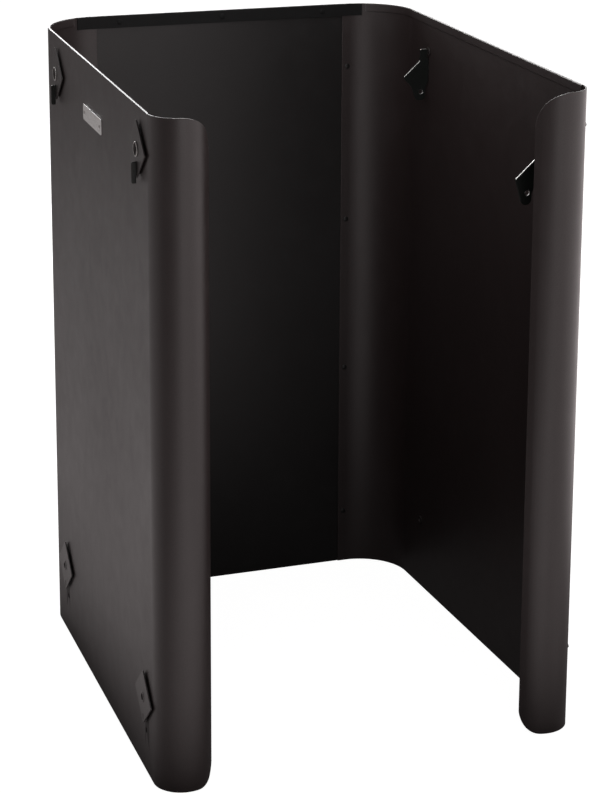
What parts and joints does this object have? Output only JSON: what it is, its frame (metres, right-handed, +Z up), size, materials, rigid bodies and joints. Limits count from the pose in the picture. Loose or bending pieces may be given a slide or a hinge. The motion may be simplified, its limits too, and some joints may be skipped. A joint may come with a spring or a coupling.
{
  "type": "stove heat shield",
  "caption": "Free-standing U-shaped sheet-steel heat shield with rolled front lips, a riveted rear panel, diamond spacer plates and inner hooks.",
  "frame": {"origin": "middle of the footprint on the floor plane", "axes": "+Z up, the open side faces -Y, the rear panel faces +Y, +X to the right seen from the open side"},
  "size_m": [0.5068, 0.5712, 0.75],
  "materials": {
    "shell_paint": "satin, fine texture",
    "panel_paint": "satin, fine texture",
    "strip_black": "matte",
    "plate_paint": "satin",
    "plate_light": "satin",
    "zinc": "satin",
    "hook_black": "satin",
    "badge_metal": "satin"
  },
  "bodies": {
    "frame": {"badge_pin_1": "zinc", "badge_pin_2": "zinc", "badge_plate": "badge_metal", "hollow_rivet_left_lower_front": "zinc", "hollow_rivet_left_lower_rear": "zinc", "hollow_rivet_left_upper_front": "zinc", "hollow_rivet_left_upper_rear": "zinc", "hollow_rivet_right_lower_front": "zinc", "hollow_rivet_right_lower_rear": "zinc", "hollow_rivet_right_upper_front": "zinc", "hollow_rivet_right_upper_rear": "zinc", "hook_left_front": "hook_black", "hook_left_rear": "hook_black", "hook_right_front": "hook_black", "hook_right_rear": "hook_black", "left_side_shell": "shell_paint", "rear_panel": "panel_paint", "rear_top_strip": "strip_black", "right_side_shell": "shell_paint", "seam_rivet_left_1": "panel_paint", "seam_rivet_left_2": "panel_paint", "seam_rivet_left_3": "panel_paint", "seam_rivet_left_4": "panel_paint", "seam_rivet_right_1": "panel_paint", "seam_rivet_right_2": "panel_paint", "seam_rivet_right_3": "panel_paint", "seam_rivet_right_4": "panel_paint", "spacer_plate_left_upper_front": "plate_paint", "spacer_plate_left_upper_rear": "plate_paint", "spacer_plate_right_upper_front": "plate_paint", "spacer_plate_right_upper_rear": "plate_paint", "standoff_washer_left_lower_front": "zinc", "standoff_washer_left_lower_rear": "zinc", "standoff_washer_left_upper_front": "zinc", "standoff_washer_left_upper_rear": "zinc", "standoff_washer_right_lower_front": "zinc", "standoff_washer_right_lower_rear": "zinc", "standoff_washer_right_upper_front": "zinc", "standoff_washer_right_upper_rear": "zinc", "strip_rivet_1": "panel_paint", "strip_rivet_2": "panel_paint", "strip_rivet_3": "panel_paint"},
    "plate_right_lower_rear": {"spacer_plate_right_lower_rear": "plate_light"},
    "plate_right_lower_front": {"spacer_plate_right_lower_front": "plate_light"},
    "plate_left_lower_rear": {"spacer_plate_left_lower_rear": "plate_light"},
    "plate_left_lower_front": {"spacer_plate_left_lower_front": "plate_light"}
  },
  "joints": [
    {"name": "swivel_right_lower_rear", "type": "hinge", "parent": "frame", "child": "plate_right_lower_rear", "pos_m": [0.23317, 0.17142, 0.09], "axis": [0.9996, 0.0281, 0], "continuous": true},
    {"name": "swivel_right_lower_front", "type": "hinge", "parent": "frame", "child": "plate_right_lower_front", "pos_m": [0.2442, -0.22158, 0.09], "axis": [0.9996, 0.0281, 0], "continuous": true},
    {"name": "swivel_left_lower_rear", "type": "hinge", "parent": "frame", "child": "plate_left_lower_rear", "pos_m": [-0.23317, 0.17142, 0.09], "axis": [-0.9996, 0.0281, 0], "continuous": true},
    {"name": "swivel_left_lower_front", "type": "hinge", "parent": "frame", "child": "plate_left_lower_front", "pos_m": [-0.2442, -0.22158, 0.09], "axis": [-0.9996, 0.0281, 0], "continuous": true}
  ]
}
